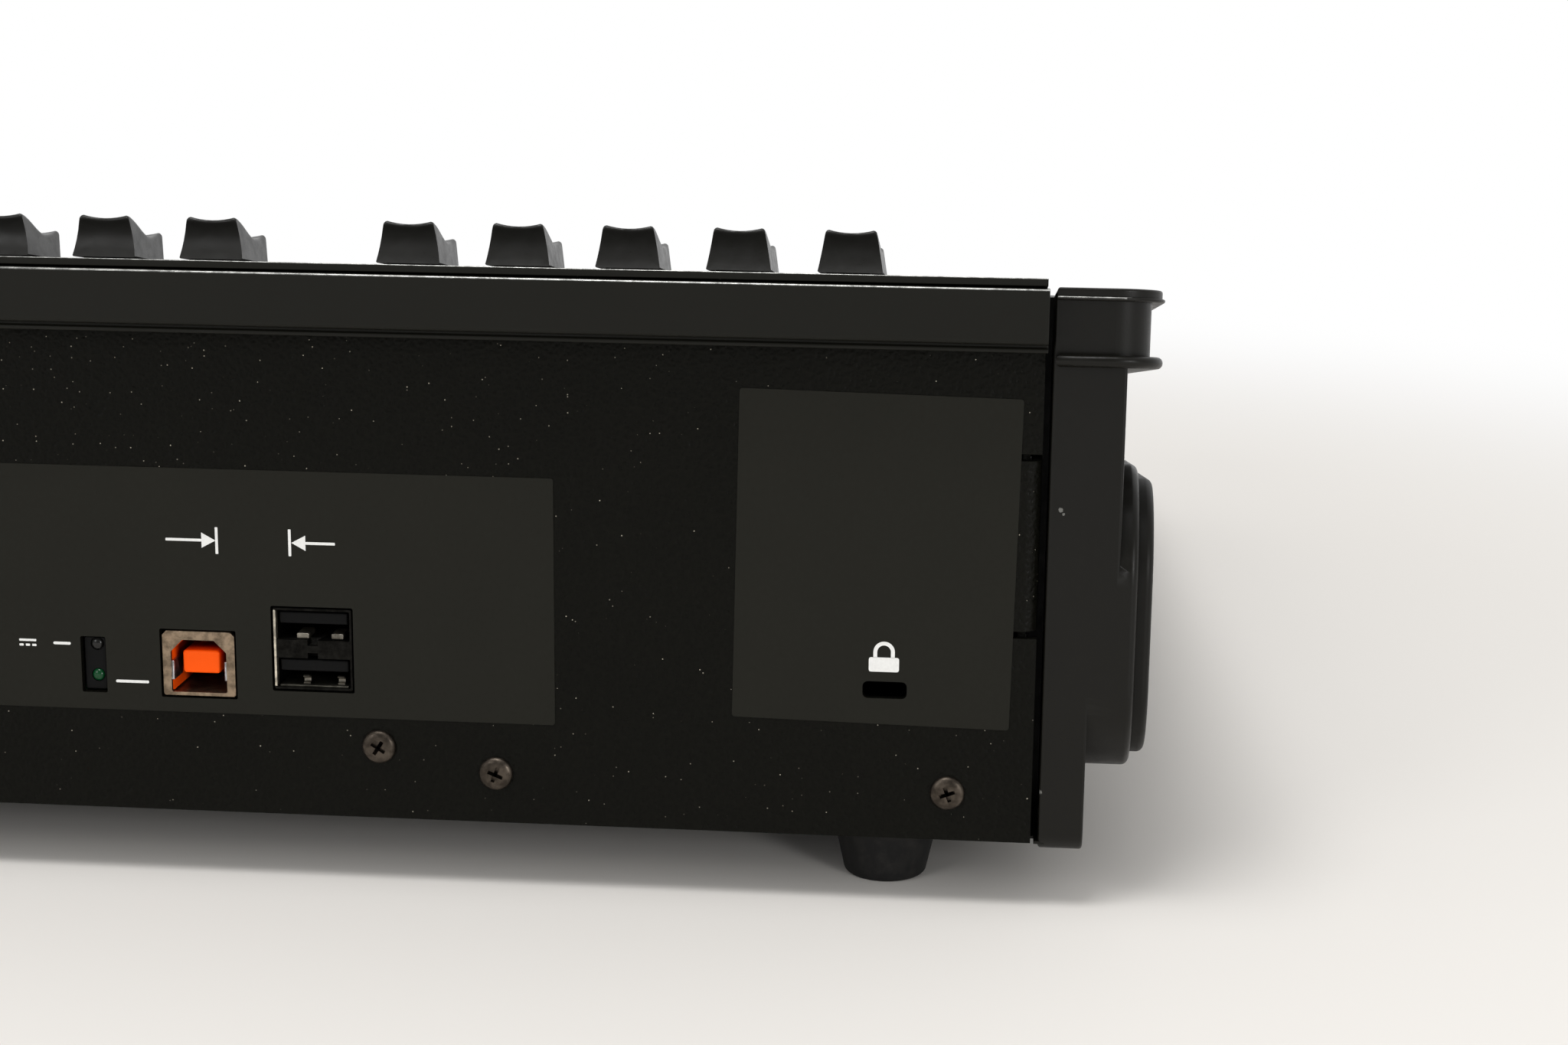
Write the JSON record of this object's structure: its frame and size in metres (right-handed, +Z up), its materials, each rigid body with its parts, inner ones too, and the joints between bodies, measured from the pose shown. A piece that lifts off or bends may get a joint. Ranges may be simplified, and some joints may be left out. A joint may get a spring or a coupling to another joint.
{
  "type": "lighting fader wing",
  "caption": "Desk-top lighting fader wing: a sloping deck with two rows of slide faders and flash keys, end cheeks with bumpers, rubber feet and rear sockets.",
  "frame": {"origin": "on the table under the middle of the housing", "axes": "+X to the operator's right, +Y from the operator to the rear panel, +Z up"},
  "size_m": [0.3264, 0.316, 0.1022],
  "materials": {
    "coated_sheet": "black wrinkle powder coat",
    "satin_rail": "smooth satin black",
    "moulding": "fine-textured black moulding",
    "foot_rubber": "matt black rubber",
    "socket_metal": "plated steel",
    "socket_orange": "orange moulded insert",
    "socket_black": "black moulded insert",
    "light_holder": "black holder with a clear and a green lens",
    "circuit_board": "green solder mask",
    "fader_cap": "satin black",
    "flash_key": "dark grey"
  },
  "bodies": {
    "housing": {"base_pan": "coated_sheet", "rear_panel": "coated_sheet", "top_panel": "coated_sheet", "rear_rail": "satin_rail", "left_cheek": "moulding", "right_cheek": "moulding", "left_side_boss": "moulding", "right_side_boss": "moulding", "foot_rear_left": "foot_rubber", "foot_rear_right": "foot_rubber", "foot_front_left": "foot_rubber", "foot_front_right": "foot_rubber", "usb_b_shell": "socket_metal", "usb_b_insert": "socket_orange", "usb_a_shell": "socket_metal", "usb_a_insert": "socket_black", "power_jack": "socket_black", "status_lights": "light_holder", "socket_board": "circuit_board", "fader_board": "circuit_board"},
    "fader_rear_01": {"fader_rear_01": "fader_cap"},
    "key_rear_01": {"key_rear_01": "flash_key"},
    "fader_rear_02": {"fader_rear_02": "fader_cap"},
    "key_rear_02": {"key_rear_02": "flash_key"},
    "fader_rear_03": {"fader_rear_03": "fader_cap"},
    "key_rear_03": {"key_rear_03": "flash_key"},
    "fader_rear_04": {"fader_rear_04": "fader_cap"},
    "key_rear_04": {"key_rear_04": "flash_key"},
    "fader_rear_05": {"fader_rear_05": "fader_cap"},
    "key_rear_05": {"key_rear_05": "flash_key"},
    "fader_rear_06": {"fader_rear_06": "fader_cap"},
    "key_rear_06": {"key_rear_06": "flash_key"},
    "fader_rear_07": {"fader_rear_07": "fader_cap"},
    "key_rear_07": {"key_rear_07": "flash_key"},
    "fader_rear_08": {"fader_rear_08": "fader_cap"},
    "key_rear_08": {"key_rear_08": "flash_key"},
    "fader_rear_09": {"fader_rear_09": "fader_cap"},
    "key_rear_09": {"key_rear_09": "flash_key"},
    "fader_rear_10": {"fader_rear_10": "fader_cap"},
    "key_rear_10": {"key_rear_10": "flash_key"},
    "fader_front_01": {"fader_front_01": "fader_cap"},
    "key_front_01": {"key_front_01": "flash_key"},
    "fader_front_02": {"fader_front_02": "fader_cap"},
    "key_front_02": {"key_front_02": "flash_key"},
    "fader_front_03": {"fader_front_03": "fader_cap"},
    "key_front_03": {"key_front_03": "flash_key"},
    "fader_front_04": {"fader_front_04": "fader_cap"},
    "key_front_04": {"key_front_04": "flash_key"},
    "fader_front_05": {"fader_front_05": "fader_cap"},
    "key_front_05": {"key_front_05": "flash_key"},
    "fader_front_06": {"fader_front_06": "fader_cap"},
    "key_front_06": {"key_front_06": "flash_key"},
    "fader_front_07": {"fader_front_07": "fader_cap"},
    "key_front_07": {"key_front_07": "flash_key"},
    "fader_front_08": {"fader_front_08": "fader_cap"},
    "key_front_08": {"key_front_08": "flash_key"},
    "fader_front_09": {"fader_front_09": "fader_cap"},
    "key_front_09": {"key_front_09": "flash_key"},
    "fader_front_10": {"fader_front_10": "fader_cap"},
    "key_front_10": {"key_front_10": "flash_key"}
  },
  "joints": [
    {"name": "fader_rear_01_slide", "type": "slide", "parent": "housing", "child": "fader_rear_01", "axis": [0, 0.9863, 0.165], "range_m": [0, 0.06]},
    {"name": "key_rear_01_press", "type": "slide", "parent": "housing", "child": "key_rear_01", "axis": [0, 0.165, -0.9863], "range_m": [0, 0.0012], "stiffness_N_per_m": 400, "springref_m": -0.0006},
    {"name": "fader_rear_02_slide", "type": "slide", "parent": "housing", "child": "fader_rear_02", "axis": [0, 0.9863, 0.165], "range_m": [0, 0.06]},
    {"name": "key_rear_02_press", "type": "slide", "parent": "housing", "child": "key_rear_02", "axis": [0, 0.165, -0.9863], "range_m": [0, 0.0012], "stiffness_N_per_m": 400, "springref_m": -0.0006},
    {"name": "fader_rear_03_slide", "type": "slide", "parent": "housing", "child": "fader_rear_03", "axis": [0, 0.9863, 0.165], "range_m": [0, 0.06]},
    {"name": "key_rear_03_press", "type": "slide", "parent": "housing", "child": "key_rear_03", "axis": [0, 0.165, -0.9863], "range_m": [0, 0.0012], "stiffness_N_per_m": 400, "springref_m": -0.0006},
    {"name": "fader_rear_04_slide", "type": "slide", "parent": "housing", "child": "fader_rear_04", "axis": [0, 0.9863, 0.165], "range_m": [0, 0.06]},
    {"name": "key_rear_04_press", "type": "slide", "parent": "housing", "child": "key_rear_04", "axis": [0, 0.165, -0.9863], "range_m": [0, 0.0012], "stiffness_N_per_m": 400, "springref_m": -0.0006},
    {"name": "fader_rear_05_slide", "type": "slide", "parent": "housing", "child": "fader_rear_05", "axis": [0, 0.9863, 0.165], "range_m": [0, 0.06]},
    {"name": "key_rear_05_press", "type": "slide", "parent": "housing", "child": "key_rear_05", "axis": [0, 0.165, -0.9863], "range_m": [0, 0.0012], "stiffness_N_per_m": 400, "springref_m": -0.0006},
    {"name": "fader_rear_06_slide", "type": "slide", "parent": "housing", "child": "fader_rear_06", "axis": [0, 0.9863, 0.165], "range_m": [0, 0.06]},
    {"name": "key_rear_06_press", "type": "slide", "parent": "housing", "child": "key_rear_06", "axis": [0, 0.165, -0.9863], "range_m": [0, 0.0012], "stiffness_N_per_m": 400, "springref_m": -0.0006},
    {"name": "fader_rear_07_slide", "type": "slide", "parent": "housing", "child": "fader_rear_07", "axis": [0, 0.9863, 0.165], "range_m": [0, 0.06]},
    {"name": "key_rear_07_press", "type": "slide", "parent": "housing", "child": "key_rear_07", "axis": [0, 0.165, -0.9863], "range_m": [0, 0.0012], "stiffness_N_per_m": 400, "springref_m": -0.0006},
    {"name": "fader_rear_08_slide", "type": "slide", "parent": "housing", "child": "fader_rear_08", "axis": [0, 0.9863, 0.165], "range_m": [0, 0.06]},
    {"name": "key_rear_08_press", "type": "slide", "parent": "housing", "child": "key_rear_08", "axis": [0, 0.165, -0.9863], "range_m": [0, 0.0012], "stiffness_N_per_m": 400, "springref_m": -0.0006},
    {"name": "fader_rear_09_slide", "type": "slide", "parent": "housing", "child": "fader_rear_09", "axis": [0, 0.9863, 0.165], "range_m": [0, 0.06]},
    {"name": "key_rear_09_press", "type": "slide", "parent": "housing", "child": "key_rear_09", "axis": [0, 0.165, -0.9863], "range_m": [0, 0.0012], "stiffness_N_per_m": 400, "springref_m": -0.0006},
    {"name": "fader_rear_10_slide", "type": "slide", "parent": "housing", "child": "fader_rear_10", "axis": [0, 0.9863, 0.165], "range_m": [0, 0.06]},
    {"name": "key_rear_10_press", "type": "slide", "parent": "housing", "child": "key_rear_10", "axis": [0, 0.165, -0.9863], "range_m": [0, 0.0012], "stiffness_N_per_m": 400, "springref_m": -0.0006},
    {"name": "fader_front_01_slide", "type": "slide", "parent": "housing", "child": "fader_front_01", "axis": [0, 0.9863, 0.165], "range_m": [0, 0.06]},
    {"name": "key_front_01_press", "type": "slide", "parent": "housing", "child": "key_front_01", "axis": [0, 0.165, -0.9863], "range_m": [0, 0.0012], "stiffness_N_per_m": 400, "springref_m": -0.0006},
    {"name": "fader_front_02_slide", "type": "slide", "parent": "housing", "child": "fader_front_02", "axis": [0, 0.9863, 0.165], "range_m": [0, 0.06]},
    {"name": "key_front_02_press", "type": "slide", "parent": "housing", "child": "key_front_02", "axis": [0, 0.165, -0.9863], "range_m": [0, 0.0012], "stiffness_N_per_m": 400, "springref_m": -0.0006},
    {"name": "fader_front_03_slide", "type": "slide", "parent": "housing", "child": "fader_front_03", "axis": [0, 0.9863, 0.165], "range_m": [0, 0.06]},
    {"name": "key_front_03_press", "type": "slide", "parent": "housing", "child": "key_front_03", "axis": [0, 0.165, -0.9863], "range_m": [0, 0.0012], "stiffness_N_per_m": 400, "springref_m": -0.0006},
    {"name": "fader_front_04_slide", "type": "slide", "parent": "housing", "child": "fader_front_04", "axis": [0, 0.9863, 0.165], "range_m": [0, 0.06]},
    {"name": "key_front_04_press", "type": "slide", "parent": "housing", "child": "key_front_04", "axis": [0, 0.165, -0.9863], "range_m": [0, 0.0012], "stiffness_N_per_m": 400, "springref_m": -0.0006},
    {"name": "fader_front_05_slide", "type": "slide", "parent": "housing", "child": "fader_front_05", "axis": [0, 0.9863, 0.165], "range_m": [0, 0.06]},
    {"name": "key_front_05_press", "type": "slide", "parent": "housing", "child": "key_front_05", "axis": [0, 0.165, -0.9863], "range_m": [0, 0.0012], "stiffness_N_per_m": 400, "springref_m": -0.0006},
    {"name": "fader_front_06_slide", "type": "slide", "parent": "housing", "child": "fader_front_06", "axis": [0, 0.9863, 0.165], "range_m": [0, 0.06]},
    {"name": "key_front_06_press", "type": "slide", "parent": "housing", "child": "key_front_06", "axis": [0, 0.165, -0.9863], "range_m": [0, 0.0012], "stiffness_N_per_m": 400, "springref_m": -0.0006},
    {"name": "fader_front_07_slide", "type": "slide", "parent": "housing", "child": "fader_front_07", "axis": [0, 0.9863, 0.165], "range_m": [0, 0.06]},
    {"name": "key_front_07_press", "type": "slide", "parent": "housing", "child": "key_front_07", "axis": [0, 0.165, -0.9863], "range_m": [0, 0.0012], "stiffness_N_per_m": 400, "springref_m": -0.0006},
    {"name": "fader_front_08_slide", "type": "slide", "parent": "housing", "child": "fader_front_08", "axis": [0, 0.9863, 0.165], "range_m": [0, 0.06]},
    {"name": "key_front_08_press", "type": "slide", "parent": "housing", "child": "key_front_08", "axis": [0, 0.165, -0.9863], "range_m": [0, 0.0012], "stiffness_N_per_m": 400, "springref_m": -0.0006},
    {"name": "fader_front_09_slide", "type": "slide", "parent": "housing", "child": "fader_front_09", "axis": [0, 0.9863, 0.165], "range_m": [0, 0.06]},
    {"name": "key_front_09_press", "type": "slide", "parent": "housing", "child": "key_front_09", "axis": [0, 0.165, -0.9863], "range_m": [0, 0.0012], "stiffness_N_per_m": 400, "springref_m": -0.0006},
    {"name": "fader_front_10_slide", "type": "slide", "parent": "housing", "child": "fader_front_10", "axis": [0, 0.9863, 0.165], "range_m": [0, 0.06]},
    {"name": "key_front_10_press", "type": "slide", "parent": "housing", "child": "key_front_10", "axis": [0, 0.165, -0.9863], "range_m": [0, 0.0012], "stiffness_N_per_m": 400, "springref_m": -0.0006}
  ]
}
